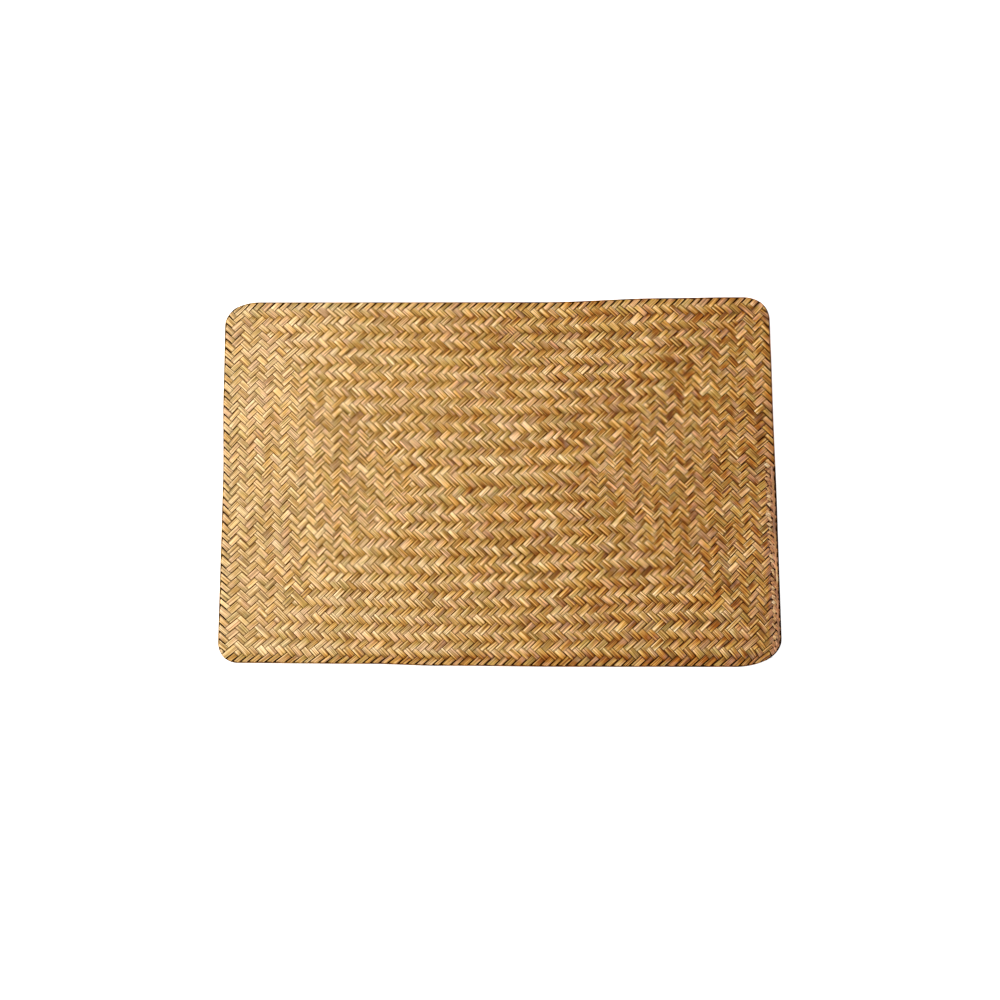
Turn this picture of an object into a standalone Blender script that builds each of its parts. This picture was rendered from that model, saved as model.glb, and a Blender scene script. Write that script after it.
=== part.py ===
"""Seagrass placemat, in metres, +Z up.

The mat is one plaited sheet that lies flat. Its rows of twill run in nested
rectangles from the rim to a short spine across the middle, and each row is
raised on the upper face. The underside is flat. The origin is at the middle
of the underside.
"""

from typing import NamedTuple

import bmesh
import bpy

MM = 0.001

# Plait, counted in steps: one step is half the diagonal of a strip's crossing
STEPS_ACROSS = 63
STEPS_UP = 43
EDGE_STEP = 0.5
STEPS_A_ROW = 2

# Section, in mm
THICKNESS = 3.0
GROOVE_DEPTH = 0.55
RIM_MIDDLE = 1.4
RIM_SHOULDER = 2.45

# Section, in steps inward
RIM_ROUNDING = 0.24
CREST_START = 0.55
CREST_END = 1.45
SPINE_CREST = 0.7

# The plait is a little denser on the left than on the right, in mm at the middle
DRIFT_ACROSS = 2.7
DRIFT_UP = 1.6

# The rows bend inside the rim: these lengths in mm fade out towards it
COLUMNS_SHIFT = -4.0
COLUMNS_LEAN = -12.3
COLUMNS_BOW = 37.2
ROWS_SPREAD = 3.1
ROWS_TILT = 4.1
ROWS_BOW = 11.9
ROWS_PINCH = -10.3

# A pull of this share of the corner's size, fading by this power, draws a round arc
CORNER_PULL = 0.293
CORNER_FADE = 1.7

# Points round a loop: segments in each corner zone and between the zones
ZONE_SEGMENTS = 4
LONG_SEGMENTS = 6
SHORT_SEGMENTS = 4
LONG_ZONE = 0.18
SHORT_ZONE = 0.15
EVEN_ZONE = 0.6

STRAW = (0.571, 0.323, 0.091, 1.0)
STRAW_ROUGHNESS = 0.62


class Station(NamedTuple):
    """A place along an edge, from -1 to 1, and the edge's distance from the middle in mm."""

    place: float
    reach: float


class Corner(NamedTuple):
    """How far a rounded corner runs along each of its two edges, in mm."""

    across: float
    up: float


TOP_EDGE = (
    Station(place=-1.0, reach=147.5),
    Station(place=0.18, reach=147.7),
    Station(place=0.62, reach=151.1),
    Station(place=0.86, reach=151.9),
    Station(place=1.0, reach=152.0),
)
BOTTOM_EDGE = (
    Station(place=-1.0, reach=148.7),
    Station(place=-0.45, reach=149.5),
    Station(place=-0.2, reach=151.0),
    Station(place=0.3, reach=151.9),
    Station(place=1.0, reach=152.0),
)
LEFT_EDGE = (
    Station(place=-1.0, reach=223.2),
    Station(place=0.0, reach=222.9),
    Station(place=0.5, reach=224.6),
    Station(place=1.0, reach=225.0),
)
RIGHT_EDGE = (
    Station(place=-1.0, reach=225.0),
    Station(place=-0.2, reach=224.5),
    Station(place=0.5, reach=223.4),
    Station(place=1.0, reach=222.8),
)

TOP_LEFT = Corner(across=28.0, up=20.0)
TOP_RIGHT = Corner(across=21.0, up=19.0)
BOTTOM_RIGHT = Corner(across=38.0, up=22.0)
BOTTOM_LEFT = Corner(across=16.0, up=17.0)


def clear_scene():
    """Remove every object, so that the script can be run again."""
    for old in list(bpy.data.objects):
        bpy.data.objects.remove(old, do_unlink=True)


def edge_reach(edge, place):
    """Read an edge's distance from the middle, eased between its stations."""
    for first, second in zip(edge, edge[1:]):
        if place <= second.place:
            share = max(0.0, (place - first.place) / (second.place - first.place))
            ease = share * share * (3.0 - 2.0 * share)
            return first.reach + ease * (second.reach - first.reach)
    return edge[-1].reach


def corner_at(u, v):
    """Pick the rounded corner of the quarter that a point lies in."""
    if v > 0.0:
        return TOP_RIGHT if u > 0.0 else TOP_LEFT
    return BOTTOM_RIGHT if u > 0.0 else BOTTOM_LEFT


def lay_point(across, up):
    """Turn a place in the plait, in steps from the middle, into x and y in metres."""
    u = across / (STEPS_ACROSS + EDGE_STEP)
    v = up / (STEPS_UP + EDGE_STEP)
    reach_x = edge_reach(RIGHT_EDGE if u > 0.0 else LEFT_EDGE, v)
    reach_y = edge_reach(TOP_EDGE if v > 0.0 else BOTTOM_EDGE, u)
    x = u * reach_x - DRIFT_ACROSS * (1.0 - u * u)
    y = v * reach_y - DRIFT_UP * (1.0 - v * v)

    fade = (1.0 - u * u) * (1.0 - v * v)
    bend = COLUMNS_SHIFT + v * (COLUMNS_LEAN + v * COLUMNS_BOW)
    x += fade * u * u * (1.0 + u * u) * bend
    bend = ROWS_TILT + u * ROWS_BOW + v * ROWS_PINCH
    y += fade * (v * ROWS_SPREAD + u * bend)

    corner = corner_at(u, v)
    from_side = max(0.0, 1.0 - (reach_x - abs(x)) / corner.across)
    from_end = max(0.0, 1.0 - (reach_y - abs(y)) / corner.up)
    pull = CORNER_PULL * (from_side * from_end) ** CORNER_FADE
    x -= (1.0 if u > 0.0 else -1.0) * pull * corner.across
    y -= (1.0 if v > 0.0 else -1.0) * pull * corner.up
    return x * MM, y * MM


def side_stations(middle_segments, rim_zone, inward):
    """List places from -1 to 1 along a side, close together at the rim's corners.

    Towards the spine, where the sides are short, the places are spread evenly.
    """
    zone = rim_zone + inward * (EVEN_ZONE - rim_zone)
    corner_part = [zone * i / ZONE_SEGMENTS for i in range(ZONE_SEGMENTS)]
    gap = 2.0 - 2.0 * zone
    middle_part = [zone + gap * i / middle_segments for i in range(middle_segments)]
    end_part = [2.0 - zone + zone * i / ZONE_SEGMENTS for i in range(ZONE_SEGMENTS)]
    return [place - 1.0 for place in corner_part + middle_part + end_part]


def row_loop(steps_in, height):
    """Lay one closed loop, anticlockwise from above, so many steps inside the edge."""
    inward = steps_in / (STEPS_UP + EDGE_STEP)
    half_across = STEPS_ACROSS + EDGE_STEP - steps_in
    half_up = STEPS_UP + EDGE_STEP - steps_in
    along = side_stations(LONG_SEGMENTS, LONG_ZONE, inward)
    beside = side_stations(SHORT_SEGMENTS, SHORT_ZONE, inward)
    corners = [(s * half_across, -half_up) for s in along]
    corners += [(half_across, s * half_up) for s in beside]
    corners += [(-s * half_across, half_up) for s in along]
    corners += [(-half_across, -s * half_up) for s in beside]
    return [(*lay_point(across, up), height * MM) for across, up in corners]


def mat_section():
    """List the section from the underside's rim to the spine, as steps inward and height."""
    section = [
        (RIM_ROUNDING, 0.0),
        (0.0, RIM_MIDDLE),
        (RIM_ROUNDING, RIM_SHOULDER),
    ]
    for row in range(STEPS_UP // STEPS_A_ROW):
        outer = row * STEPS_A_ROW
        section.append((outer + CREST_START, THICKNESS))
        section.append((outer + CREST_END, THICKNESS))
        section.append((outer + STEPS_A_ROW, THICKNESS - GROOVE_DEPTH))
    section.append((section[-1][0] + SPINE_CREST, THICKNESS))
    return section


def loft_mat():
    """Loft the section's loops into one closed mesh."""
    mesh = bpy.data.meshes.new("woven_mat")
    cage = bmesh.new()
    loops = [
        [cage.verts.new(point) for point in row_loop(steps_in, height)]
        for steps_in, height in mat_section()
    ]
    for outer, inner in zip(loops, loops[1:]):
        for i in range(len(outer)):
            after = (i + 1) % len(outer)
            cage.faces.new((outer[i], outer[after], inner[after], inner[i]))
    cage.faces.new(list(reversed(loops[0])))
    cage.faces.new(loops[-1])
    bmesh.ops.triangulate(cage, faces=cage.faces)
    cage.to_mesh(mesh)
    cage.free()
    return mesh


def seagrass():
    """Dried seagrass: straw gold, dull, with no metal in it."""
    material = bpy.data.materials.new("dried_seagrass")
    material.use_nodes = True
    shader = material.node_tree.nodes["Principled BSDF"]
    shader.inputs["Base Color"].default_value = STRAW
    shader.inputs["Roughness"].default_value = STRAW_ROUGHNESS
    shader.inputs["Metallic"].default_value = 0.0
    return material


def build():
    """Build the placemat in its own collection."""
    clear_scene()
    collection = bpy.data.collections.new("Seagrass placemat")
    bpy.context.scene.collection.children.link(collection)
    mat = bpy.data.objects.new("woven_mat", loft_mat())
    mat.data.materials.append(seagrass())
    collection.objects.link(mat)


build()
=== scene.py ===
"""Seagrass placemat: the plaited strips, their finish, the table top and the light.

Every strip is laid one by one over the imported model. The plait is counted in
steps: one step is half the diagonal of a strip's crossing, and a place in it
is (across, up) in steps from the middle of the mat.
"""

import logging
import math
from dataclasses import dataclass, field
from enum import Enum
from typing import Any, NamedTuple

import bpy
import numpy as np
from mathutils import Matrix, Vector


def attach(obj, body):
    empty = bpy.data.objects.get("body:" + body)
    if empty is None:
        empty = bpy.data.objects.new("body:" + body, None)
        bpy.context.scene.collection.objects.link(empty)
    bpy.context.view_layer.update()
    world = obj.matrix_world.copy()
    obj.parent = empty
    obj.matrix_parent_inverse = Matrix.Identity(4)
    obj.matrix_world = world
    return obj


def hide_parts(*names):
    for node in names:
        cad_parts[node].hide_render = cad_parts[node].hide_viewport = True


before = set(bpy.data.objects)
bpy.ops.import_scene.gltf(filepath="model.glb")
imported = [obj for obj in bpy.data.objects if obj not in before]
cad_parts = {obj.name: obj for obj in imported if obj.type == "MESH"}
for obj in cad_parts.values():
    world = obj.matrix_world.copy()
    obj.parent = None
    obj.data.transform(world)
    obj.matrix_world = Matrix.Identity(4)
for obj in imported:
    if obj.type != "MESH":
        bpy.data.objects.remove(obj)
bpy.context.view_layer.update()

LOG = logging.getLogger("placemat")
MM = 0.001
SEED = 1107
MIDDLE_HEIGHT_MM = 1.5
PITCH_MM = 4.93
HIGHEST_CHANCE = 100.0

Span = tuple[float, float]


class Lean(Enum):
    """The two directions in which the strips run, seen from above."""

    RISING = 1
    FALLING = -1


class Third(Enum):
    """The share of one direction's strips that a piece holds, by strip number."""

    LEFT = "left"
    MIDDLE = "middle"
    RIGHT = "right"


class Station(NamedTuple):
    """A place along an edge, from -1 to 1, and the edge's distance from the middle in mm."""

    place: float
    reach: float


class Corner(NamedTuple):
    """How far a rounded corner runs along each of its two edges, in mm."""

    across: float
    up: float


@dataclass(frozen=True)
class MatOutline:
    """The uneven rim of the mat, which also spaces the plait inside it.

    Inside the rim the rows of the plait bend, by lengths in mm that fade out at the rim.
    """

    steps_across: float = 63.5
    steps_up: float = 43.5
    drift_across: float = 2.7
    drift_up: float = 1.6
    columns_shift: float = -4.0
    columns_lean: float = -12.3
    columns_bow: float = 37.2
    rows_spread: float = 3.1
    rows_tilt: float = 4.1
    rows_bow: float = 11.9
    rows_pinch: float = -10.3
    corner_pull: float = 0.293
    corner_fade: float = 1.7
    top: tuple[Station, ...] = (
        Station(-1.0, 147.5),
        Station(0.18, 147.7),
        Station(0.62, 151.1),
        Station(0.86, 151.9),
        Station(1.0, 152.0),
    )
    bottom: tuple[Station, ...] = (
        Station(-1.0, 148.7),
        Station(-0.45, 149.5),
        Station(-0.2, 151.0),
        Station(0.3, 151.9),
        Station(1.0, 152.0),
    )
    left: tuple[Station, ...] = (
        Station(-1.0, 223.2),
        Station(0.0, 222.9),
        Station(0.5, 224.6),
        Station(1.0, 225.0),
    )
    right: tuple[Station, ...] = (
        Station(-1.0, 225.0),
        Station(-0.2, 224.5),
        Station(0.5, 223.4),
        Station(1.0, 222.8),
    )
    top_left: Corner = Corner(28.0, 20.0)
    top_right: Corner = Corner(21.0, 19.0)
    bottom_right: Corner = Corner(38.0, 22.0)
    bottom_left: Corner = Corner(16.0, 17.0)

    @staticmethod
    def reach(edge: tuple[Station, ...], place: np.ndarray) -> np.ndarray:
        """Read an edge's distance from the middle, eased between its stations.

        Args:
            edge: The edge's stations, in order of place.
            place: Places along the edge, from -1 to 1.

        Returns:
            The distances in mm.
        """
        reach = np.full(place.shape, edge[0].reach)
        for first, second in zip(edge, edge[1:]):
            share = np.clip((place - first.place) / (second.place - first.place), 0.0, 1.0)
            reach += (second.reach - first.reach) * share * share * (3.0 - 2.0 * share)
        return reach

    def lay(self, across: np.ndarray, up: np.ndarray) -> tuple[np.ndarray, np.ndarray]:
        """Turn places in the plait into places on the table.

        Args:
            across: Steps to the right of the middle.
            up: Steps from the middle towards the upper edge.

        Returns:
            The x and y places in metres.
        """
        u, v = across / self.steps_across, up / self.steps_up
        reach_x = np.where(u > 0.0, self.reach(self.right, v), self.reach(self.left, v))
        reach_y = np.where(v > 0.0, self.reach(self.top, u), self.reach(self.bottom, u))
        x = u * reach_x - self.drift_across * (1.0 - u * u)
        y = v * reach_y - self.drift_up * (1.0 - v * v)
        fade = (1.0 - u * u) * (1.0 - v * v)
        bend = self.columns_shift + v * (self.columns_lean + v * self.columns_bow)
        x = x + fade * u * u * (1.0 + u * u) * bend
        bend = self.rows_tilt + u * self.rows_bow + v * self.rows_pinch
        y = y + fade * (v * self.rows_spread + u * bend)
        for corner, side, end in (
            (self.top_left, -1.0, 1.0),
            (self.top_right, 1.0, 1.0),
            (self.bottom_right, 1.0, -1.0),
            (self.bottom_left, -1.0, -1.0),
        ):
            from_side = np.clip(1.0 - (reach_x - side * x) / corner.across, 0.0, None)
            from_end = np.clip(1.0 - (reach_y - end * y) / corner.up, 0.0, None)
            pull = self.corner_pull * (from_side * from_end) ** self.corner_fade
            x = x - side * pull * corner.across
            y = y - end * pull * corner.up
        return x * MM, y * MM


@dataclass(frozen=True)
class TwillPlan:
    """The two-over, two-under plait, whose rows of floats run in nested rectangles.

    The upper and lower fields meet the left and right fields at a mitre, which
    starts a little to the side of each corner, and a short spine lies between them.
    """

    across: int = 63
    up: int = 43
    middle_strips: int = 10
    float_rings: int = 4
    mitre_shift: int = 2

    def in_end_field(self, across: np.ndarray, up: np.ndarray) -> np.ndarray:
        """Say which crossings lie in the upper or lower field.

        Args:
            across: Whole steps to the right of the middle.
            up: Whole steps from the middle towards the upper edge.

        Returns:
            True in those fields and along the rim above and below them.
        """
        from_end = self.up - np.abs(up)
        from_side = self.across - np.abs(across)
        return from_end <= np.maximum(from_side - self.mitre_shift, self.float_rings // 2 - 1)

    def rising_on_top(self, across: np.ndarray, up: np.ndarray) -> np.ndarray:
        """Say at which crossings the rising strip lies over the falling one.

        Args:
            across: Whole steps to the right of the middle.
            up: Whole steps from the middle towards the upper edge.

        Returns:
            True where the rising strip is on top.
        """
        half = self.float_rings // 2
        in_end_band = (self.up - np.abs(up)) % self.float_rings < half
        in_side_band = (self.across - np.abs(across)) % self.float_rings >= half
        return np.where(self.in_end_field(across, up), in_end_band, in_side_band)

    def strips(self, third: Third) -> range:
        """List the strip numbers of a third, which are the same for both leans."""
        last = (self.across + self.up) // 2
        if third is Third.LEFT:
            return range(-last, -self.middle_strips)
        if third is Third.MIDDLE:
            return range(-self.middle_strips, self.middle_strips + 1)
        return range(self.middle_strips + 1, last + 1)

    def first_crossing(self, lean: Lean, number: int) -> tuple[int, int, int]:
        """Find where a strip starts at its left end, and how many crossings it has.

        Args:
            lean: The strip's direction.
            number: The strip's number, from 0 through the mat's middle.

        Returns:
            Steps across and up of its first crossing, and its crossings.
        """
        start = max(-self.across, 2 * number - self.up)
        end = min(self.across, 2 * number + self.up)
        up = lean.value * (start - 2 * number)
        return start, up, end - start + 1


class StripEdges:
    """The uneven edges between neighbouring strips, which leave some wide and some narrow."""

    def __init__(
        self,
        span: int = 60,
        spread: float = 0.075,
        slow_spread: float = 0.065,
        every: int = 6,
        limit: float = 0.2,
    ) -> None:
        """Draw the edges of both leans.

        Args:
            span: The highest strip number.
            spread: How far whole edges lie from their even places, in pitches.
            slow_spread: How far they wander along the strips, in pitches.
            every: Crossings from one turn of an edge to the next.
            limit: The furthest that an edge may lie from its even place.
        """
        rng = np.random.default_rng(SEED)
        self.span = span
        places = np.arange(2 * span + 1)
        knots = np.arange(0, 2 * span + every, every)
        self.tables: dict[Lean, np.ndarray] = {}
        for lean in Lean:
            slow = rng.normal(0.0, slow_spread, (len(places), len(knots)))
            wander = np.array([np.interp(places, knots, row) for row in slow])
            table = rng.normal(0.0, spread, (len(places), 1)) + wander
            self.tables[lean] = np.clip(table, -limit, limit)

    def offset(self, lean: Lean, number: Any, place: Any) -> np.ndarray:
        """Read how far the edge after a strip lies from its even place.

        Args:
            lean: The strip's direction.
            number: The strip's number, or several.
            place: Places along it, as the numbers of the strips that cross it.

        Returns:
            The offsets in pitches, towards the higher number.
        """
        spot = np.clip(np.asarray(place, dtype=float) + self.span, 0.0, 2.0 * self.span - 0.01)
        low = spot.astype(int)
        table, row = self.tables[lean], number + self.span
        return table[row, low] + (spot - low) * (table[row, low + 1] - table[row, low])


@dataclass(frozen=True)
class StripSection:
    """A strip's cross-section: half widths from the middle, and heights in mm.

    It runs over the outer side from left to right, then back along the inner side.
    """

    sides: tuple[float, ...] = (-1.0, -0.96, 0.0, 0.96, 1.0, 0.88, 0.0, -0.88)
    heights: tuple[float, ...] = (-0.06, 0.2, 0.26, 0.2, -0.06, -0.2, -0.24, -0.2)
    middle_point: int = 2
    crisp_points: tuple[int, ...] = (1, 3, 5, 7)
    end_faces: tuple[tuple[int, ...], ...] = ((0, 1, 6, 7), (1, 2, 5, 6), (2, 3, 4, 5))

    def round_places(self, width: float) -> np.ndarray:
        """Measure the way round the section, from 0 to 1, for its unrolled map."""
        x = np.array(self.sides + self.sides[:1]) * width / 2
        z = np.array(self.heights + self.heights[:1])
        way = np.concatenate(([0.0], np.cumsum(np.hypot(np.diff(x), np.diff(z)))))
        return way / way[-1]


@dataclass
class StripLayer:
    """One third of the strips of one lean, as one mesh of closed ribbons."""

    lean: Lean
    third: Third
    outline: MatOutline
    plan: TwillPlan
    edges: StripEdges
    section: StripSection = field(default_factory=StripSection)
    pitch_mm: float = PITCH_MM
    step_mm: float = 3.46
    middle_height_mm: float = MIDDLE_HEIGHT_MM
    lift_mm: float = 0.84
    arch: float = 0.16
    dive_reach: float = 0.22
    dive_delay: float = 0.06
    waist: float = 0.02
    rim: float = 0.22
    fold: float = 0.38
    under_inset: float = 0.5
    shear_length: float = 1.3
    width_share: float = 1.0
    rising_gap: float = 0.045
    width_limits: tuple[float, float] = (0.5, 1.4)
    covered_width: float = 1.02
    covered_from: float = 0.3
    covered_span: float = 0.7
    rim_narrowing: float = 0.1
    rim_length: float = 2.1
    rim_fade: float = 0.9
    roll_mm: float = 0.14
    lift_spread_mm: float = 0.06
    slow_spread: float = 0.6
    roll_every: float = 2.0
    split_every: float = 5.0
    split_spread: float = 0.4
    split_sharpness: float = 3.0
    split_share: float = 0.22
    split_depth_mm: float = 0.25
    dive_rows: tuple[float, ...] = (-0.21, -0.1, 0.0, 0.1, 0.21)
    float_rows: tuple[float, ...] = (0.0, 0.33, 0.67)
    end_room: float = 0.1
    fold_spacing: float = 0.2
    seed_shift: int = 100
    side_shade: float = 0.5
    side_shade_mean: float = 0.64
    fold_turns: tuple[float, ...] = (35.0, 75.0, 115.0, 160.0)

    @property
    def name(self) -> str:
        """Name the piece after its lean and third."""
        return f"{self.lean.name.lower()}_strips_{self.third.value}"

    def random(self, number: int) -> np.random.Generator:
        """Start the seeded random numbers of one strip."""
        return np.random.default_rng((SEED, self.lean.value + 1, number + self.seed_shift))

    def dive_middles(self, on_top: np.ndarray, number: int, first_across: int) -> np.ndarray:
        """Say where between two crossings a strip passes the mat's middle height.

        It stays up till just past its neighbour's edge.

        Args:
            on_top: Whether the strip lies on top at each crossing.
            number: The strip's number.
            first_across: The number of the first strip that crosses it.

        Returns:
            A place from 0 to 1 after each crossing but the last.
        """
        across = Lean.FALLING if self.lean is Lean.RISING else Lean.RISING
        neighbours = first_across + np.arange(len(on_top) - 1)
        edge = 0.5 + self.edges.offset(across, neighbours, number)
        return edge + np.where(on_top[:-1], self.dive_delay, -self.dive_delay)

    def wave(self, along: np.ndarray, on_top: np.ndarray, middles: np.ndarray) -> np.ndarray:
        """Ease a strip up and down between its crossings.

        Args:
            along: Places along the strip, in crossings.
            on_top: Whether the strip lies on top at each crossing.
            middles: Where it passes the mat's middle height after each crossing.

        Returns:
            Heights from about -1 to 1, with each float a little arched.
        """
        level = np.where(on_top, 1.0, -1.0)
        if len(level) == 1:
            return np.full(along.shape, level[0])
        dives = np.arange(len(middles)) + middles
        run = np.clip(0.5 + (along[:, None] - dives) / (2.0 * self.dive_reach), 0.0, 1.0)
        ease = run * run * (3.0 - 2.0 * run)
        spot = np.clip(along, 0.0, len(level) - 1.0)
        low = np.minimum(spot.astype(int), len(level) - 2)
        share = spot - low
        arch = np.where(level[low] == level[low + 1], self.arch * 4.0 * share * (1.0 - share), 0.0)
        return level[0] + (ease * np.diff(level)).sum(axis=1) + level[low] * arch

    def drift(
        self, rng: np.random.Generator, along: np.ndarray, count: int, every: float
    ) -> np.ndarray:
        """Draw a slow random curve along a strip, about -1 to 1.

        Args:
            rng: The strip's random numbers.
            along: Places along the strip, in crossings.
            count: The strip's crossings.
            every: Crossings from one random value to the next.

        Returns:
            The curve at each place.
        """
        knots = np.arange(-2.0 * every, count + 2.0 * every, every)
        return np.interp(along, knots, rng.normal(0.0, self.slow_spread, len(knots)))

    def rows(self, on_top: np.ndarray, middles: np.ndarray) -> tuple[np.ndarray, np.ndarray]:
        """List a strip's rows of points: place along it, and turn round the rim's fold.

        Args:
            on_top: Whether the strip lies on top at each crossing. An end on top folds
                over the rim.
            middles: Where it passes the mat's middle height after each crossing.

        Returns:
            Places in crossings, and turns in radians, below 0 at the left end.
        """
        count = len(on_top)
        first = -self.rim + (self.fold if on_top[0] else self.under_inset)
        last = count - 1 + self.rim - (self.fold if on_top[-1] else self.under_inset)
        places = [float(count - 1)]
        for crossing, middle in enumerate(middles):
            if on_top[crossing] == on_top[crossing + 1]:
                places += [crossing + place for place in self.float_rows]
            else:
                places += [float(crossing)] + [crossing + middle + row for row in self.dive_rows]
        inner = np.array(sorted(places))
        inner = inner[(inner > first + self.end_room) & (inner < last - self.end_room)]
        turns = np.radians(self.fold_turns)
        head = -turns[::-1] if on_top[0] else np.array([])
        tail = turns if on_top[-1] else np.array([])
        along = np.concatenate((
            np.full(len(head), first), [first], inner, [last], np.full(len(tail), last)
        ))
        turn = np.concatenate((head, np.zeros(len(inner) + 2), tail))
        return along, turn

    @staticmethod
    def float_places(along: np.ndarray, on_top: np.ndarray) -> tuple[np.ndarray, np.ndarray]:
        """Say in which float of a strip each row shows, and how far along that float.

        Args:
            along: Places along the strip, in crossings.
            on_top: Whether the strip lies on top at each crossing.

        Returns:
            The floats' numbers, and places in them from 0 at the left to 1 at the right.
        """
        number = np.concatenate(([0], np.cumsum(on_top[1:] != on_top[:-1])))
        spot = np.clip(along, 0.0, len(on_top) - 1.0)
        low = np.minimum(spot.astype(int), max(0, len(on_top) - 2))
        high = np.minimum(low + 1, len(on_top) - 1)
        shown = np.where(on_top[low], number[low], number[high])
        starts = np.searchsorted(number, shown)
        ends = np.searchsorted(number, shown, side="right")
        return shown, np.clip((along - starts + 0.5) / (ends - starts), 0.0, 1.0)

    def strip(self, number: int) -> dict[str, np.ndarray]:
        """Lay one strip.

        Args:
            number: The strip's number.

        Returns:
            Its points, its places along and across, its random numbers, splits, and the painted shade
            along its floats.
        """
        rng = self.random(number)
        start, up, count = self.plan.first_crossing(self.lean, number)
        steps = np.arange(count)
        crossings = (start + steps, up + self.lean.value * steps)
        rising = self.plan.rising_on_top(*crossings)
        on_top = rising if self.lean is Lean.RISING else ~rising
        in_end = self.plan.in_end_field(*crossings)
        first_across = (start + self.lean.value * up) // 2
        middles = self.dive_middles(on_top, number, first_across)
        along, turn = self.rows(on_top, middles)
        shown, way = self.float_places(along, on_top)

        from_rim = np.minimum(along, count - 1 - along) + self.rim
        near_edge = self.edges.offset(self.lean, number - 1, first_across + along)
        far_edge = self.edges.offset(self.lean, number, first_across + along)
        extra = far_edge - near_edge
        level = self.wave(along, on_top, middles)
        gap = self.rising_gap if self.lean is Lean.RISING else 0.0
        width = self.width_share - gap + extra - self.waist * np.sin(math.pi * way)
        near_rim = np.clip((self.rim_length - from_rim) / self.rim_fade, 0.0, 1.0)
        width = width - self.rim_narrowing * near_rim * np.clip(level, 0.0, 1.0)
        width = np.clip(width, *self.width_limits)
        covered = np.clip((self.covered_from - level) / self.covered_span, 0.0, 1.0)
        width = width + (self.covered_width + extra - width) * covered
        middle = (far_edge + near_edge) / 2.0
        roll = self.roll_mm * self.drift(rng, along, count, self.roll_every)
        lift = self.lift_spread_mm * self.drift(rng, along, count, self.roll_every)
        split = self.drift(rng, along, count, self.split_every)
        split_from = 1.0 - 2.0 * self.split_share
        split = (split + rng.normal(0.0, self.split_spread) - split_from) * self.split_sharpness
        split = np.clip(split, 0.0, 1.0)
        float_chance = rng.uniform(0.0, 1.0, count + 1)[shown]
        nearest = np.clip(np.rint(along), 0, count - 1).astype(int)
        # Painted shade: in the upper and lower fields each float's left end is paler and its right end
        # darker, as light from the left would fall; in the side fields the middle of each float is darker
        # than its ends.
        side_shade = self.side_shade * (np.sin(math.pi * way) - self.side_shade_mean)
        shade = np.where(in_end[nearest], way - 0.5, side_shade)

        sides = np.array(self.section.sides)
        off_middle = middle[:, None] + sides * width[:, None] / 2
        heights = np.array(self.section.heights) + sides * roll[:, None]
        heights[:, self.section.middle_point] -= self.split_depth_mm * split
        heights = heights + (np.maximum(0.0, lift) * np.sign(level))[:, None]

        place = along[:, None] + self.shear(along, off_middle, start, count)
        swing = np.sin(turn)[:, None]
        place = place + np.sign(turn)[:, None] * np.abs(swing) * (self.fold + heights / self.step_mm)
        across = start + place + off_middle
        height_up = up + self.lean.value * (place - off_middle)
        x, y = self.outline.lay(across, height_up)
        off_height = (self.lift_mm * level[:, None] + heights) * np.cos(turn)[:, None]
        z = self.middle_height_mm + off_height
        round_fold = np.abs(turn)[:, None] * self.fold_spacing
        return gather(
            self.section, (x, y, z),
            along=along[:, None] + round_fold,
            chance=rng.uniform(0.0, 1.0),
            shade=shade[:, None],
            split=split[:, None],
            float_chance=float_chance[:, None],
        )

    def shear(
        self, along: np.ndarray, off_middle: np.ndarray, start: int, count: int
    ) -> np.ndarray:
        """Slant a strip's last rows, so that its ends lie along the rim.

        Args:
            along: Places along the strip, in crossings.
            off_middle: The points' distance from the strip's middle, in pitches.
            start: Steps across of the first crossing.
            count: The strip's crossings.

        Returns:
            How far along each point moves, in crossings.
        """
        reach = min(self.shear_length, count - 1 + 2 * self.rim)
        last = count - 1
        starts_at_side = start == -self.plan.across
        ends_at_side = start + last == self.plan.across
        near = -1.0 if starts_at_side else 1.0
        far = -1.0 if ends_at_side else 1.0
        near_ease = np.clip((reach - self.rim - along) / reach, 0.0, 1.0)[:, None]
        far_ease = np.clip((along - last - self.rim + reach) / reach, 0.0, 1.0)[:, None]
        return off_middle * (near * near_ease + far * far_ease)

    def build(self) -> bpy.types.Object:
        """Lay every strip of this third and join them in one mesh.

        Returns:
            The piece, with its places and its unrolled map.
        """
        strips = [self.strip(number) for number in self.plan.strips(self.third)]
        return join_ribbons(self.name, strips, self.section, self.pitch_mm, -self.lean.value)

    def plaited_area(self) -> float:
        """Work out the flat area of this third's strips in square metres."""
        numbers = self.plan.strips(self.third)
        crossings = sum(self.plan.first_crossing(self.lean, number)[2] for number in numbers)
        mean_width = (self.width_share + self.covered_width) / 2
        return crossings * self.pitch_mm * self.pitch_mm * mean_width * MM * MM


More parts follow.
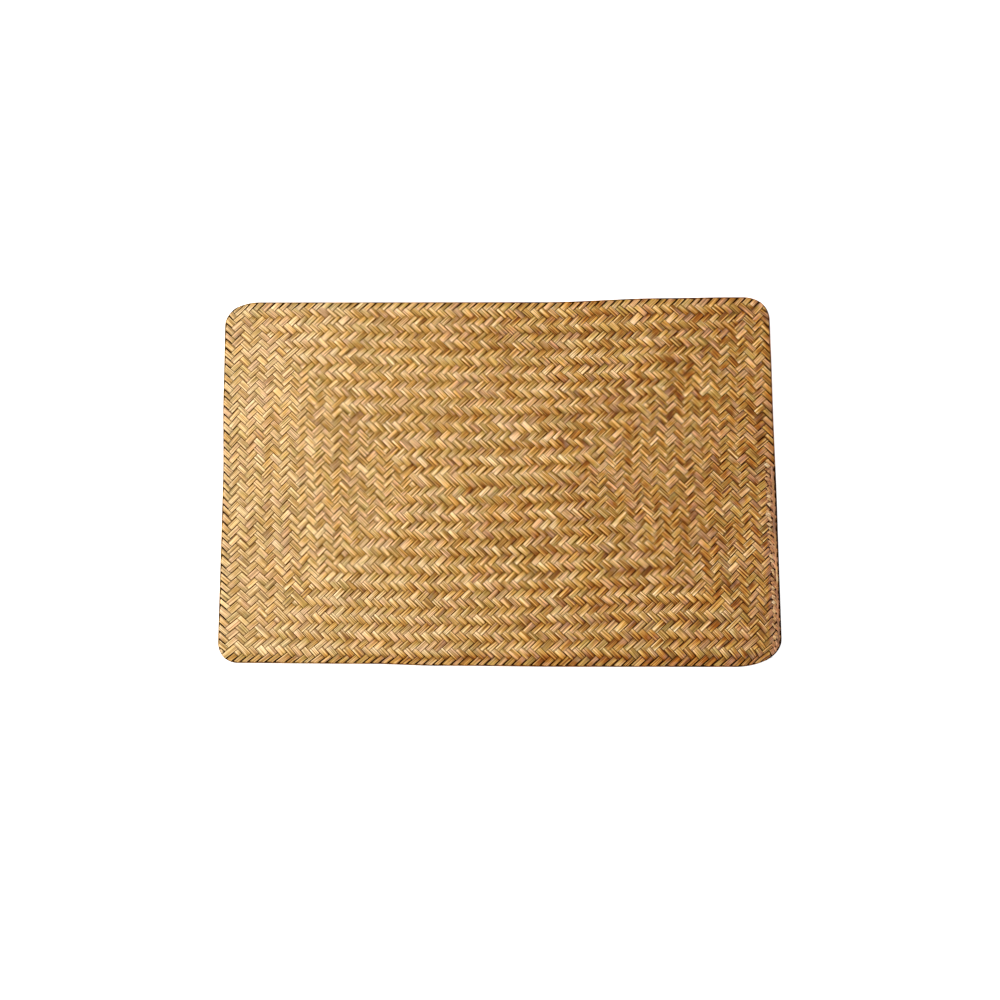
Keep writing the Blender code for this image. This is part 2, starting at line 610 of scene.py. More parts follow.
@dataclass
class SelvedgeCurls:
    """Tucked strip ends that curl over one another along the lower part of the right edge."""

    outline: MatOutline
    section: StripSection = field(default_factory=StripSection)
    name: str = "rim_curls"
    first_up: float = 3.0
    last_up: float = -40.0
    every: float = 1.05
    inset_from: float = 2.35
    inset_to: float = 1.15
    run: float = 1.1
    half_width: float = 0.4
    run_range: Span = (0.4, 1.3)
    width_range: Span = (0.6, 1.3)
    end_width: float = 0.8
    jitter: float = 0.2
    cover_inset: float = 0.85
    cover_half_width: float = 0.32
    cover_round_mm: float = 0.5
    cover_every: float = 0.5
    cover_turn_rows: int = 4
    cover_jitter: float = 0.3
    cover_chance: float = 0.5
    cover_shade: tuple[float, float] = (0.2, 0.9)
    crest_mm: float = 2.68
    crest_at: float = 0.35
    tuck_mm: float = 0.8
    drop_mm: float = 1.0
    roll_mm: float = 0.9
    rows: int = 9
    pitch_mm: float = PITCH_MM
    pitches_a_step: float = 0.7
    # The curls' own tones, counted in the same units as the painted shade along the floats.
    shade: tuple[float, float] = (-1.0, 0.9)
    shade_limits: tuple[float, float] = (-2.0, 0.9)

    def cover(self, rng: np.random.Generator) -> dict[str, np.ndarray]:
        """Lay the strip that runs down the edge over the curls' outer ends.

        Args:
            rng: The seeded random numbers of the edge.

        Returns:
            The same facts as for a strip.
        """
        rows = int((self.first_up - self.last_up) / self.cover_every)
        place = np.linspace(self.first_up, self.last_up, rows)[:, None]
        knots = np.arange(rows // self.cover_turn_rows + 2)
        spots = np.arange(rows) / self.cover_turn_rows
        turns = np.interp(spots, knots, rng.normal(0.0, 1.0, len(knots)))[:, None]
        sides = np.array(self.section.sides)
        inset = self.cover_inset + self.cover_jitter * self.jitter * turns
        across = self.outline.steps_across - inset + sides * self.cover_half_width
        x, y = self.outline.lay(across, np.broadcast_to(place, across.shape))
        z = self.crest_mm + np.array(self.section.heights) - self.cover_round_mm * sides * sides
        mean, spread = self.cover_shade
        return gather(
            self.section, (x, y, z),
            along=(self.first_up - place) * self.pitches_a_step,
            chance=self.cover_chance,
            shade=mean + spread * turns,
            split=0.0,
            float_chance=self.cover_chance,
        )

    def curl(self, rng: np.random.Generator, up: float) -> dict[str, np.ndarray]:
        """Lay one curl from its tucked inner end out towards the rim.

        Args:
            rng: The seeded random numbers of the edge.
            up: The curl's place along the edge, in steps.

        Returns:
            The same facts as for a strip.
        """
        way = np.linspace(0.0, 1.0, self.rows)[:, None]
        run = self.run * rng.uniform(*self.run_range)
        inset_from = self.inset_from + self.jitter * rng.normal()
        half_width = self.half_width * rng.uniform(*self.width_range)
        bow = self.jitter * rng.normal() * np.sin(math.pi * way)
        inset = inset_from + (self.inset_to - inset_from) * way
        place = up + self.jitter * rng.normal() + run * (0.5 - way) + bow
        length = math.hypot(run, inset_from - self.inset_to)
        sides = np.array(self.section.sides)
        swell = self.end_width + (1.0 - self.end_width) * np.sin(math.pi * way)
        off = sides * half_width * swell
        across = self.outline.steps_across - inset + off * run / length
        height_up = place + off * (inset_from - self.inset_to) / length
        x, y = self.outline.lay(across, height_up)
        before = np.clip((self.crest_at - way) / self.crest_at, 0.0, 1.0)
        beyond = np.clip((way - self.crest_at) / (1.0 - self.crest_at), 0.0, 1.0)
        z = self.crest_mm - self.tuck_mm * before * before - self.drop_mm * beyond * beyond
        roll = self.roll_mm * rng.uniform(-1.0, 1.0) * (way - 0.5)
        z = z + np.array(self.section.heights) + sides * roll
        return gather(
            self.section, (x, y, z),
            along=way * length,
            chance=rng.uniform(0.0, 1.0),
            shade=np.clip(rng.normal(*self.shade), *self.shade_limits),
            split=rng.uniform(0.0, 1.0),
            float_chance=rng.uniform(0.0, 1.0),
        )

    def build(self) -> bpy.types.Object:
        """Lay the curls from the top down, with their cover strip, and join them in one mesh.

        Returns:
            The piece, with its places and its unrolled map.
        """
        rng = np.random.default_rng(SEED)
        places = np.arange(self.first_up, self.last_up, -self.every)
        ribbons = [self.cover(rng)] + [self.curl(rng, up) for up in places]
        return join_ribbons(self.name, ribbons, self.section, self.pitch_mm, 1)


@dataclass
class RimStrip:
    """A strip that closes the selvedge and runs once round the mat, along or inside the folds."""

    name: str
    outline: MatOutline
    inset: float
    half_width: float
    half_height_mm: float
    middle_height_mm: float = MIDDLE_HEIGHT_MM
    every: float = 0.5
    sides: int = 8
    flatness: float = 0.7
    pitch_mm: float = 3.5
    chance: float = 0.5
    # The rim strip's facts darken its tone and crease it along its whole width: painted shade for the
    # shaded fold along the rim.
    facts: tuple[float, float, float] = (0.6, 0.55, 1.0)

    def path(self) -> tuple[np.ndarray, np.ndarray, np.ndarray]:
        """Walk once round the plait, anticlockwise from the lower left corner.

        Returns:
            Places across and up at the rim as shares of the full size, and the way so far.
        """
        across, up = self.outline.steps_across, self.outline.steps_up
        long_side = np.linspace(-1.0, 1.0, int(2 * across / self.every), endpoint=False)
        short_side = np.linspace(-1.0, 1.0, int(2 * up / self.every), endpoint=False)
        long_end, short_end = np.ones(len(long_side)), np.ones(len(short_side))
        u = np.concatenate((long_side, short_end, -long_side, -short_end))
        v = np.concatenate((-long_end, short_side, long_end, -short_side))
        return u, v, np.arange(len(u)) * self.every

    def build(self) -> bpy.types.Object:
        """Sweep the rim strip's rounded section along the rim.

        Returns:
            The piece, with its places and its unrolled map.
        """
        u, v, way = self.path()
        turn = np.linspace(0.0, 2.0 * math.pi, self.sides, endpoint=False)
        out = np.sign(np.cos(turn)) * np.abs(np.cos(turn)) ** self.flatness
        rise = np.sign(np.sin(turn)) * np.abs(np.sin(turn)) ** self.flatness
        inset = self.inset - self.half_width * out
        x, y = self.outline.lay(
            u[:, None] * (self.outline.steps_across - inset), v[:, None] * (self.outline.steps_up - inset)
        )
        z = np.broadcast_to(self.middle_height_mm + self.half_height_mm * rise, x.shape)
        rows = len(u)
        grid = np.arange(rows * self.sides).reshape(rows, self.sides)
        after, beside = np.roll(grid, -1, axis=0), np.roll(grid, -1, axis=1)
        quads = np.stack((grid, after, np.roll(after, -1, axis=1), beside), axis=-1).reshape(-1, 4)
        piece = mesh_piece(self.name, np.stack((x, y, z * MM), axis=-1).reshape(-1, 3), quads)
        spots = np.meshgrid(np.linspace(0.0, 1.0, self.sides + 1), np.linspace(0.0, 1.0, rows + 1))
        corner = np.stack(spots, axis=-1)
        places = (corner[:-1, :-1], corner[1:, :-1], corner[1:, 1:], corner[:-1, 1:])
        add_map(piece.data, "OFBake", np.stack(places, axis=2).reshape(-1, 4, 2))
        along = np.broadcast_to(way[:, None] * self.pitch_mm * MM, x.shape)
        chance = np.full(x.shape, self.chance * HIGHEST_CHANCE)
        place = np.stack((np.zeros(x.shape), along, chance), axis=-1)
        add_values(piece.data, "strip_place", place)
        add_values(piece.data, "strip_facts", np.broadcast_to(self.facts, (*x.shape, 3)))
        return piece


class UnrolledMap:
    """Lays the unrolled strips of a piece side by side in columns, long ones first."""

    MARGIN = 0.04
    CAP = 0.2

    def __init__(self, lengths: list[int]) -> None:
        """Give each strip a column and a start in it.

        Args:
            lengths: The rows of points of each strip.
        """
        self.height = max(lengths) + 1
        self.spots: dict[int, tuple[int, int]] = {}
        filled: list[int] = []
        for index in sorted(range(len(lengths)), key=lambda i: -lengths[i]):
            need = lengths[index] + 1
            column = next((c for c, used in enumerate(filled) if used + need <= self.height), None)
            if column is None:
                column = len(filled)
                filled.append(0)
            self.spots[index] = (column, filled[column])
            filled[column] += need
        self.columns = len(filled)

    def strip_map(self, index: int, rows: int, way: np.ndarray) -> np.ndarray:
        """Place one strip's faces on the map.

        Args:
            index: The strip's place in the list of lengths.
            rows: Its rows of points.
            way: The way round the section, from 0 to 1.

        Returns:
            Four map places for each face, caps last.
        """
        column, start = self.spots[index]
        u = (column + self.MARGIN + (1.0 - 2.0 * self.MARGIN) * way) / self.columns
        v = (start + 0.5 + np.arange(rows)) / self.height
        corner = np.stack(np.meshgrid(u, v), axis=-1)
        skin = np.stack(
            (corner[:-1, :-1], corner[1:, :-1], corner[1:, 1:], corner[:-1, 1:]), axis=2
        ).reshape(-1, 4, 2)
        cap = self.CAP / self.height
        caps = []
        for top in (v[0] - cap, v[-1] + cap):
            for left, right in zip(u[:3], u[1:4]):
                caps.append([(left, top - cap), (right, top - cap), (right, top), (left, top)])
        return np.concatenate((skin, np.array(caps)))


def gather(section: StripSection, places: tuple[Any, Any, Any], **facts: Any) -> dict[str, np.ndarray]:
    """Gather a ribbon's points with the facts that its finish reads, by row and side.

    Args:
        section: The ribbon's section.
        places: The points' x and y in metres, and their heights in mm.
        facts: The ribbon's facts: one value, or one for each row or point.

    Returns:
        The points in metres, and each fact at every point, with the place across added.
    """
    x, y, z = places
    facts["across"] = np.array(section.sides) / 2.0
    ribbon = {key: np.broadcast_to(value, x.shape) for key, value in facts.items()}
    ribbon["points"] = np.stack((x, y, np.broadcast_to(z, x.shape) * MM), axis=-1)
    return ribbon


def join_ribbons(
    name: str, ribbons: list[dict[str, np.ndarray]], section: StripSection, pitch_mm: float, turn_way: int
) -> bpy.types.Object:
    """Join ribbons in one mesh of closed skins.

    Args:
        name: The piece's name.
        ribbons: For each ribbon, its points by row and side, and the facts that its finish reads.
        section: The ribbons' section.
        pitch_mm: The length for which their places along and across count one.
        turn_way: 1 or -1, the way round in which their sections are listed.

    Returns:
        The piece, with its places and its unrolled map.
    """
    columns = UnrolledMap([len(r["points"]) for r in ribbons])
    points, quads, maps = [], [], []
    base = 0
    for index, ribbon in enumerate(ribbons):
        rows, sides = ribbon["points"].shape[:2]
        grid = base + np.arange(rows * sides).reshape(rows, sides)
        after = np.roll(grid, -1, axis=1)
        skin = np.stack((grid[:-1], grid[1:], after[1:], after[:-1]), axis=-1).reshape(-1, 4)
        caps = []
        for row, order in ((grid[0], 1), (grid[-1], -1)):
            for corners in section.end_faces:
                caps.append([row[c] for c in corners[::order]])
        quads.append(np.concatenate((skin, np.array(caps))))
        maps.append(columns.strip_map(index, rows, section.round_places(pitch_mm)))
        points.append(ribbon["points"].reshape(-1, 3))
        base += rows * sides
    faces = np.concatenate(quads)[:, ::turn_way]
    piece = mesh_piece(name, np.concatenate(points), faces)
    crisp_edges(piece.data, section)
    add_map(piece.data, "OFBake", np.concatenate(maps)[:, ::turn_way])
    scales = {"across": pitch_mm * MM, "along": pitch_mm * MM, "chance": HIGHEST_CHANCE}
    places = [join_facts(ribbons, key) * scale for key, scale in scales.items()]
    add_values(piece.data, "strip_place", np.stack(places, axis=-1))
    facts = [join_facts(ribbons, key) for key in ("shade", "split", "float_chance")]
    add_values(piece.data, "strip_facts", np.stack(facts, axis=-1))
    return piece


def join_facts(ribbons: list[dict[str, np.ndarray]], key: str) -> np.ndarray:
    """String one fact of every ribbon together, point by point."""
    return np.concatenate([ribbon[key].ravel() for ribbon in ribbons])


def crisp_edges(mesh: bpy.types.Mesh, section: StripSection) -> None:
    """Keep the strips' shoulders crisp, where their flat faces turn down."""
    ends = np.zeros(len(mesh.edges) * 2, dtype=np.int32)
    mesh.edges.foreach_get("vertices", ends)
    points = ends.reshape(-1, 2) % len(section.sides)
    crisp = (points[:, 0] == points[:, 1]) & np.isin(points[:, 0], section.crisp_points)
    mesh.attributes.new("sharp_edge", "BOOLEAN", "EDGE").data.foreach_set("value", crisp)


def mesh_piece(name: str, points: np.ndarray, quads: np.ndarray) -> bpy.types.Object:
    """Make a smooth-shaded object from points and four-sided faces.

    Args:
        name: The piece's name.
        points: The points, in metres.
        quads: Four point numbers for each face.

    Returns:
        The object, linked to the scene.
    """
    mesh = bpy.data.meshes.new(name)
    mesh.vertices.add(len(points))
    mesh.vertices.foreach_set("co", points.ravel().astype(np.float32))
    mesh.loops.add(quads.size)
    mesh.loops.foreach_set("vertex_index", quads.ravel().astype(np.int32))
    mesh.polygons.add(len(quads))
    mesh.polygons.foreach_set("loop_start", np.arange(0, quads.size, 4, dtype=np.int32))
    mesh.polygons.foreach_set("use_smooth", np.ones(len(quads), dtype=bool))
    mesh.update(calc_edges=True)
    mesh.validate()
    piece = bpy.data.objects.new(name, mesh)
    bpy.context.scene.collection.objects.link(piece)
    return piece


def add_map(mesh: bpy.types.Mesh, name: str, places: np.ndarray) -> None:
    """Give a mesh a map, with four places for each face."""
    layer = mesh.uv_layers.new(name=name)
    layer.data.foreach_set("uv", places.ravel().astype(np.float32))


def add_values(mesh: bpy.types.Mesh, name: str, values: np.ndarray) -> None:
    """Give a mesh three numbers for each point, under a name that its finish reads."""
    store = mesh.attributes.new(name=name, type="FLOAT_VECTOR", domain="POINT")
    store.data.foreach_set("vector", values.ravel().astype(np.float32))


def linear(hex_colour: str) -> tuple[float, float, float, float]:
    """Turn an sRGB hex colour into linear red, green, blue and alpha."""
    parts = [int(hex_colour[i : i + 2], 16) / 255.0 for i in (1, 3, 5)]
    red, green, blue = (c / 12.92 if c <= 0.04045 else ((c + 0.055) / 1.055) ** 2.4 for c in parts)
    return red, green, blue, 1.0


def add_node(tree: Any, kind: str, links: dict[Any, Any] | None = None, **settings: Any) -> Any:
    """Add a shader node with its settings and links.

    Args:
        tree: The material's node tree.
        kind: The node's type name, without its ShaderNode prefix.
        links: For each input, by name or number, a value or the output that feeds it.
        settings: Properties of the node itself.

    Returns:
        The node.
    """
    node = tree.nodes.new("ShaderNode" + kind)
    for name, value in settings.items():
        setattr(node, name, value)
    for name, value in (links or {}).items():
        if isinstance(value, bpy.types.NodeSocket):
            tree.links.new(value, node.inputs[name])
        else:
            node.inputs[name].default_value = value
    return node


def split_axes(tree: Any, vector: Any) -> Any:
    """Add a node that takes a vector apart, and give its three outputs."""
    return add_node(tree, "SeparateXYZ", {0: vector}).outputs


def rescale(
    tree: Any, value: Any, source: Span = (0.0, 1.0), target: Span = (0.0, 1.0), **settings: Any
) -> Any:
    """Add a node that carries a value over from one range to another.

    Args:
        tree: The material's node tree.
        value: The output to carry over.
        source: The range that it comes from.
        target: The range that it goes to, where it stops unless clamp is off.
        settings: Properties of the node itself.

    Returns:
        The node's output.
    """
    ends = dict(zip(("From Min", "From Max", "To Min", "To Max"), (*source, *target)))
    return add_node(tree, "MapRange", {"Value": value, **ends}, **settings).outputs[0]


def reckon(tree: Any, operation: str, *values: Any) -> Any:
    """Add a node that reckons with one to three values, and give its output."""
    return add_node(tree, "Math", dict(enumerate(values)), operation=operation).outputs[0]


def mix(tree: Any, share: Any, first: Any, second: Any) -> Any:
    """Add a node that mixes a share of the second colour into the first."""
    return add_node(tree, "Mix", {0: share, 6: first, 7: second}, data_type="RGBA").outputs[2]


class Readings(NamedTuple):
    """What the finish reads at a point: its place, the facts of its strip, and noise."""

    x: Any
    y: Any
    z: Any
    off_middle: Any
    chance: Any
    shade: Any
    split: Any
    float_chance: Any
    patch: Any
    tints: tuple[Any, Any]
    fibre: Any
    curled: Any


@dataclass(frozen=True)
class DriedSeagrass:
    """Dried seagrass strip, sun-cured and split by hand.

    It looks like straw with a dull waxy face: long fibres, pale, pinkish and gold
    lengths in one plait. Shade is painted into the hollows where strips cross below
    the surface, along the strips' edges, along each float and at the rim.
    Tones run from 0, pale, to 1, dark. Places on the mat are in metres.
    """

    pale: str = "#ECD3A8"
    straw: str = "#E0BE8A"
    gold: str = "#CA9746"
    amber: str = "#A35A0C"
    russet: str = "#783A0A"
    olive: str = "#A68F48"
    blush: str = "#DFAB85"
    # Painted shade: the colours of the hollows below the surface and of the strips' edges.
    left_painted_shade: str = "#663C0B"
    right_painted_shade: str = "#2C1300"
    tone_stops: tuple[float, ...] = (0.26, 0.42, 0.56, 0.72, 0.92)
    tone_sides: Span = (-0.2, 0.22)
    side_tones: Span = (0.5, 0.665)
    stir_sides: Span = (-0.2, 0.2)
    stir: Span = (0.62, 1.28)
    strip_spread: float = 0.04
    float_spread: float = 0.035
    patch_spread: float = 0.15
    float_shade: float = 0.15
    low_rim_painted_shade: Span = (-0.1415, -0.1445)
    low_rim_painted_shade_tone: float = 0.06
    curled_side: Span = (0.2145, 0.2165)
    curled_below: float = 0.01
    curled_tone_and_shade: float = 0.16
    curled_blush: float = 0.28
    curled_crevice_shade_mm: float = 0.7
    patch_mm: Span = (9.0, 14.0)
    patch_unlike: float = 1.0
    patch_detail: float = 2.0
    tint_noise: Span = (0.5, 0.68)
    tint_share: float = 0.5
    fibre_mm: Span = (0.7, 30.0)
    fibre_unlike: float = 3.0
    fibre_detail: float = 3.0
    fibre_noise: Span = (0.38, 0.62)
    fibre_tone: float = 0.09
    fibre_light: Span = (0.5, 1.42)
    split_mm: float = 0.25
    split_crease_shade: float = 0.75
    edge_painted_shade_mm: Span = (2.0, 2.34)
    edge_shade: float = 0.0
    hollow_painted_shade_mm: Span = (0.05, 0.45)
    hollow_painted_shade_sides: Span = (-0.2, 0.1)
    rim_painted_shade_starts: Span = (0.2125, 0.1395)
    rim_fade: float = 0.002
    roughness: Span = (0.35, 0.57)
    gleam_facing: Span = (0.6, 0.9)
    gleam: float = 0.3
    ior: float = 1.45
    bump_strength: float = 0.5
    bump_mm: float = 0.3

    @staticmethod
    def noise(tree: Any, place: Any, size_mm: Span, unlike: float, detail: float) -> Any:
        """Add noise that is stretched along the strips and unlike from strip to strip.

        Args:
            tree: The material's node tree.
            place: The place across and along a strip, and the strip's random number.
            size_mm: The size of the noise across and along the strip.
            unlike: The weight of the random number.
            detail: The finer layers of the noise.

        Returns:
            The noise node.
        """
        scale = (1 / (size_mm[0] * MM), 1 / (size_mm[1] * MM), unlike)
        spot = add_node(tree, "VectorMath", {0: place, 1: scale}, operation="MULTIPLY").outputs[0]
        return add_node(tree, "TexNoise", {"Vector": spot, "Scale": 1.0, "Detail": detail})

    def read(self, tree: Any) -> Readings:
        """Add the nodes that read a point's place, facts and noise.

        Args:
            tree: The material's node tree.

        Returns:
            Their outputs. The curled one is 1 where strip ends curl at the right edge.
        """
        place = add_node(tree, "Attribute", attribute_name="strip_place").outputs["Vector"]
        across, _, chance = split_axes(tree, place)
        facts = add_node(tree, "Attribute", attribute_name="strip_facts").outputs["Vector"]
        shade, split, float_chance = split_axes(tree, facts)
        x, y, z = split_axes(tree, add_node(tree, "TexCoord").outputs["Object"])
        off_middle = reckon(tree, "ABSOLUTE", across)
        patches = self.noise(tree, place, self.patch_mm, self.patch_unlike, self.patch_detail)
        tints = add_node(tree, "SeparateColor", {0: patches.outputs["Color"]}).outputs
        fibres = self.noise(tree, place, self.fibre_mm, self.fibre_unlike, self.fibre_detail)
        right = rescale(tree, x, self.curled_side)
        curled = reckon(tree, "MULTIPLY", right, reckon(tree, "LESS_THAN", y, self.curled_below))
        return Readings(
            x, y, z, off_middle, chance, shade, split, float_chance, patches.outputs["Fac"],
            (tints["Green"], tints["Blue"]), fibres.outputs["Fac"], curled,
        )

    def tone(self, tree: Any, read: Readings) -> Any:
        """Mix the tone of a place from its patch, its strip, its float and its side of the mat,
        with painted shade along each float and the lower rim, and a darker tone in the
        curled band that is partly painted shade.

        Args:
            tree: The material's node tree.
            read: What the finish reads there.

        Returns:
            The output with the tone.
        """
        tone = rescale(tree, read.patch, target=(-self.patch_spread, self.patch_spread))
        for value, source, target in (
            (read.chance, (0.0, HIGHEST_CHANCE), (-self.strip_spread, self.strip_spread)),
            (read.float_chance, (0.0, 1.0), (-self.float_spread, self.float_spread)),
            # Painted shade along each float, and the curls' own tones.
            (read.shade, (0.0, 1.0), (0.0, self.float_shade)),
            (read.fibre, self.fibre_noise, (self.fibre_tone, -self.fibre_tone)),
        ):
            part = rescale(tree, value, source, target, clamp=False)
            tone = reckon(tree, "ADD", tone, part)
        stir = rescale(tree, read.x, self.stir_sides, self.stir)
        tone = reckon(tree, "MULTIPLY", tone, stir)
        side = rescale(tree, read.x, self.tone_sides, self.side_tones, clamp=False)
        tone = reckon(tree, "ADD", tone, side)
        # Painted shade: the lower rim, which turns away from the light, is toned darker.
        low_rim_painted_shade = rescale(tree, read.y, self.low_rim_painted_shade, (0.0, self.low_rim_painted_shade_tone))
        tone = reckon(tree, "ADD", tone, low_rim_painted_shade)
        # The curled band is toned darker: partly the curls' brown colour, partly painted shade in the
        # gaps between them.
        return reckon(tree, "MULTIPLY_ADD", read.curled, self.curled_tone_and_shade, tone)

    def face(self, tree: Any, read: Readings) -> Any:
        """Colour a strip's face, with its tints, fibres and splits, and painted shade in each split's
        crease.

        Args:
            tree: The material's node tree.
            read: What the finish reads there.

        Returns:
            The output with the colour.
        """
        ramp = add_node(tree, "ValToRGB", {"Fac": self.tone(tree, read)})
        colours = (self.pale, self.straw, self.gold, self.amber, self.russet)
        while len(ramp.color_ramp.elements) < len(colours):
            ramp.color_ramp.elements.new(0.5)
        for element, stop, colour in zip(ramp.color_ramp.elements, self.tone_stops, colours):
            element.position = stop
            element.color = linear(colour)
        colour = ramp.outputs["Color"]
        for noise, tint in zip(read.tints, (self.olive, self.blush)):
            share = rescale(tree, noise, self.tint_noise, (0.0, self.tint_share))
            colour = mix(tree, share, colour, linear(tint))
        share = reckon(tree, "MULTIPLY", read.curled, self.curled_blush)
        colour = mix(tree, share, colour, linear(self.blush))
        grain_and_crease_shade = rescale(tree, read.fibre, self.fibre_noise, self.fibre_light)
        # Painted shade in the crease down the middle of a split strip; the rim strip, lying all at its
        # middle, is darkened this way across its whole width.
        reach = (0.0, self.split_mm * MM)
        split = rescale(tree, read.off_middle, reach, (self.split_crease_shade, 0.0))
        split = reckon(tree, "MULTIPLY", split, read.split)
        grain_and_crease_shade = reckon(tree, "MULTIPLY", grain_and_crease_shade, reckon(tree, "SUBTRACT", 1.0, split))
        scaled = add_node(tree, "VectorMath", {0: colour, "Scale": grain_and_crease_shade}, operation="SCALE")
        return scaled.outputs[0]

    def outside_painted_shade(self, tree: Any, read: Readings, facing: Any) -> Any:
        """Tell a strip's face from the painted shade in the hollows below it and along its edges.

        Args:
            tree: The material's node tree.
            read: What the finish reads there.
            facing: How far the surface faces up, below 0 on the underside.

        Returns:
            The output that is 1 on a face, and 0 where shade is painted in a hollow or at an edge.
        """
        smooth = {"interpolation_type": "SMOOTHSTEP"}
        # Painted shade: surfaces less than about half a millimetre out from the mat's middle height,
        # where the strips dive under one another, take the hollow colour.
        height = reckon(tree, "SUBTRACT", read.z, MIDDLE_HEIGHT_MM * MM)
        height = reckon(tree, "MULTIPLY", height, facing)
        # Painted shade: in the curled band the strips below count as deeper, so the crevices between the
        # curls take the hollow colour.
        height = reckon(tree, "MULTIPLY_ADD", read.curled, -self.curled_crevice_shade_mm * MM, height)
        heights = tuple(mm * MM for mm in self.hollow_painted_shade_mm)
        crest = rescale(tree, height, heights, **smooth)
        # Painted shade along each strip's long edges, which draws thin dark lines between neighbours.
        edges = tuple(mm * MM for mm in self.edge_painted_shade_mm)
        inside = rescale(tree, read.off_middle, edges, (1.0, self.edge_shade), **smooth)
        return reckon(tree, "MULTIPLY", crest, inside)

    def painted_hollow_shade(self, tree: Any, read: Readings) -> Any:
        """Colour the painted shade in the hollows, which is darker to the right and all along the rim.

        Args:
            tree: The material's node tree.
            read: What the finish reads there.

        Returns:
            The output with the colour.
        """
        share = rescale(tree, read.x, self.hollow_painted_shade_sides)
        for place, start in zip((read.x, read.y), self.rim_painted_shade_starts):
            away = reckon(tree, "ABSOLUTE", place)
            near_rim = rescale(tree, away, (start, start + self.rim_fade))
            share = reckon(tree, "MAXIMUM", share, near_rim)
        return mix(tree, share, linear(self.left_painted_shade), linear(self.right_painted_shade))

    def material(self) -> bpy.types.Material:
        """Make the finish, with its pattern on the strips' own places.

        Returns:
            The material.
        """
        material = bpy.data.materials.new("dried_seagrass")
        material.use_nodes = True
        tree = material.node_tree
        tree.nodes.clear()
        read = self.read(tree)
        facing = split_axes(tree, add_node(tree, "TexCoord").outputs["Normal"])["Z"]
        outside_painted_shade = self.outside_painted_shade(tree, read, facing)
        # The face colour, mixed into the painted shade in the hollows and at the edges.
        colour = mix(tree, outside_painted_shade, self.painted_hollow_shade(tree, read), self.face(tree, read))
        rough = rescale(tree, read.fibre, target=self.roughness)
        depth = {"Strength": self.bump_strength, "Distance": self.bump_mm * MM}
        bump = add_node(tree, "Bump", {"Height": read.fibre, **depth})
        flat = reckon(tree, "ABSOLUTE", facing)
        gleam = rescale(tree, flat, self.gleam_facing, (0.0, self.gleam))
        # No gleam where shade is painted.
        gleam = reckon(tree, "MULTIPLY", outside_painted_shade, gleam)
        shader = add_node(
            tree, "BsdfPrincipled",
            {"Base Color": colour, "Roughness": rough, "Normal": bump.outputs[0],
             "IOR": self.ior, "Specular IOR Level": gleam},
        )
        add_node(tree, "OutputMaterial", {"Surface": shader.outputs[0]})
        return material


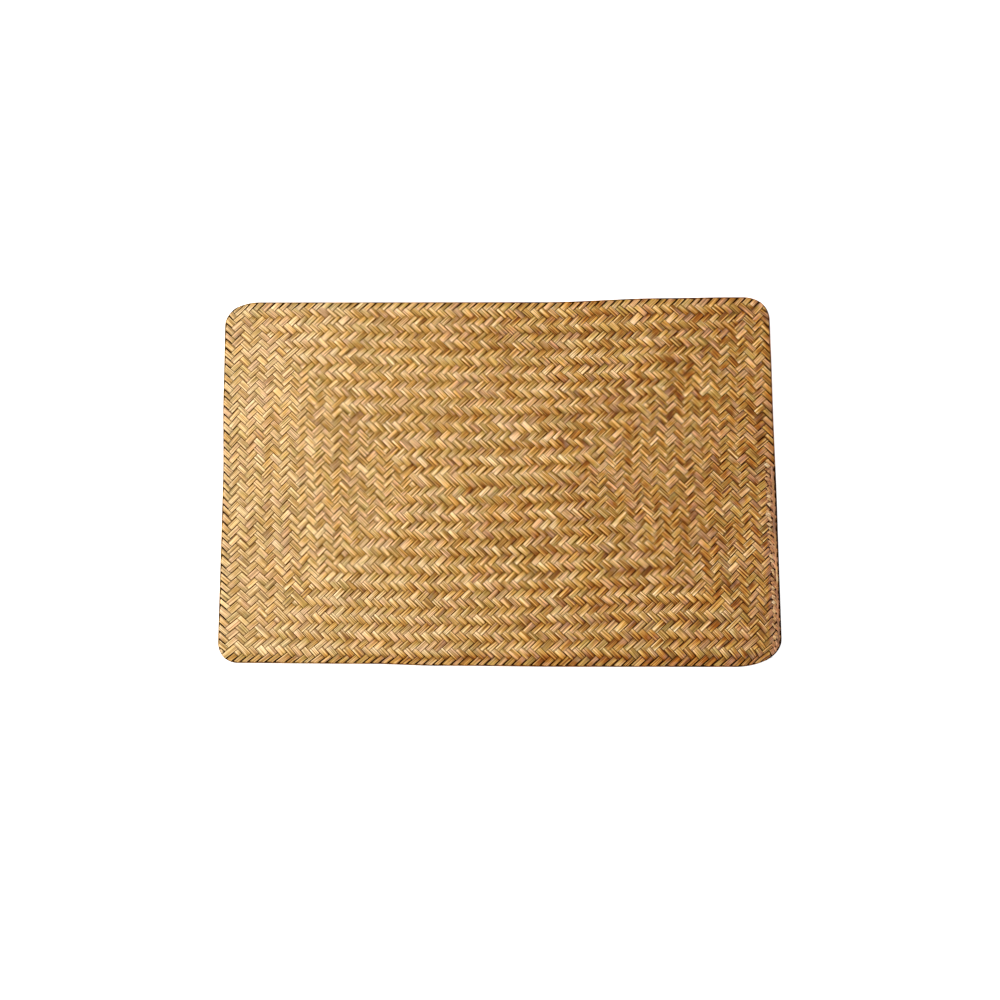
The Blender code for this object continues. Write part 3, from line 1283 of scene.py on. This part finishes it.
@dataclass(frozen=True)
class Studio:
    """The table top, the lights and the camera."""

    floor_side: float = 6.0
    floor_drop: float = 0.0002
    floor_colour: str = "#FFFFFF"
    floor_roughness: float = 0.9
    aim: tuple[float, float, float] = (0.0011, -0.0174, 0.0)
    distance: float = 1.278
    tilt_deg: float = 9.5
    lens_mm: float = 57.0
    sensor_mm: float = 36.0
    key_from: tuple[float, float, float] = (-1.2, 0.3, 1.5)
    key_side: float = 0.9
    key_watts: float = 37.5
    sky: float = 0.42
    floor_glow: float = 0.8
    glow_starts: tuple[float, float] = (0.2145, 0.1415)
    glow_fade: float = 0.004

    def floor(self) -> bpy.types.Object:
        """Lay a plain white table top that glows outside the mat: painted light that takes up the mat's
        own shadow.
        """
        place = (0.0, 0.0, -self.floor_drop)
        bpy.ops.mesh.primitive_plane_add(size=self.floor_side, location=place)
        floor = bpy.context.object
        floor.name = "table_top"
        paint = bpy.data.materials.new("glowing_floor")
        paint.use_nodes = True
        shader = paint.node_tree.nodes["Principled BSDF"]
        shader.inputs["Base Color"].default_value = linear(self.floor_colour)
        shader.inputs["Roughness"].default_value = self.floor_roughness
        shader.inputs["Emission Color"].default_value = linear(self.floor_colour)
        tree = paint.node_tree
        # Painted light: the floor glows from just outside the mat's edge outwards, so that no shadow
        # shows around it.
        spot = split_axes(tree, add_node(tree, "TexCoord").outputs["Object"])
        beyond = []
        for axis, start in zip("XY", self.glow_starts):
            away = reckon(tree, "ABSOLUTE", spot[axis])
            beyond.append(reckon(tree, "SUBTRACT", away, start))
        outside = reckon(tree, "MAXIMUM", *beyond)
        glow = rescale(tree, outside, (0.0, self.glow_fade), (0.0, self.floor_glow))
        tree.links.new(glow, shader.inputs["Emission Strength"])
        floor.data.materials.append(paint)
        return floor

    def lights(self) -> None:
        """Set one soft light at the upper left, and an even sky."""
        lamp = bpy.data.lights.new("key", "AREA")
        lamp.size = self.key_side
        lamp.energy = self.key_watts
        key = bpy.data.objects.new("key", lamp)
        key.location = self.key_from
        key.rotation_euler = (-Vector(self.key_from)).to_track_quat("-Z", "Y").to_euler()
        bpy.context.scene.collection.objects.link(key)
        world = bpy.data.worlds.new("studio")
        world.use_nodes = True
        background = world.node_tree.nodes["Background"]
        background.inputs["Color"].default_value = (1.0, 1.0, 1.0, 1.0)
        background.inputs["Strength"].default_value = self.sky
        bpy.context.scene.world = world
        bpy.context.scene.view_settings.view_transform = "Standard"

    def camera(self) -> None:
        """Look down on the mat from just in front of straight above."""
        data = bpy.data.cameras.new("camera")
        data.lens = self.lens_mm
        data.sensor_width = self.sensor_mm
        tilt = math.radians(self.tilt_deg)
        camera = bpy.data.objects.new("camera", data)
        back = Vector((0.0, -math.sin(tilt), math.cos(tilt))) * self.distance
        camera.location = Vector(self.aim) + back
        camera.rotation_euler = (tilt, 0.0, 0.0)
        bpy.context.scene.collection.objects.link(camera)
        bpy.context.scene.camera = camera


def main() -> None:
    """Lay the plait, dress it and light it."""
    logging.basicConfig(level=logging.INFO, format="%(message)s")
    outline, plan, edges = MatOutline(), TwillPlan(), StripEdges()
    seagrass = DriedSeagrass().material()
    pieces = []
    for lean in Lean:
        for third in Third:
            layer = StripLayer(lean, third, outline, plan, edges)
            piece = layer.build()
            piece.data.materials.append(seagrass)
            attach(piece, "root")
            layer.plaited_area()
            pieces.append(piece)
            LOG.info("%s: %d faces", piece.name, len(piece.data.polygons))
    rims = (
        # The rim strip closes the selvedge; its darker tone is partly painted shade along the folded rim.
        RimStrip("rim_strip", outline, inset=0.16, half_width=0.12, half_height_mm=0.8),
        # Painted shade: a thin dark sheet at mid height under the outer rows, which takes the hollow
        # colour and shows in the gaps where the floor would.
        RimStrip("rim_shade_sheet", outline, inset=1.3, half_width=1.1, half_height_mm=0.05),
        SelvedgeCurls(outline),
    )
    for part in rims:
        rim = part.build()
        rim.data.materials.append(seagrass)
        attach(rim, "root")
        LOG.info("%s: %d faces", rim.name, len(rim.data.polygons))
        pieces.append(rim)
    for piece in pieces:
        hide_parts("woven_mat")
    studio = Studio()
    studio.floor()
    studio.lights()
    studio.camera()


if __name__ == "__main__":
    main()
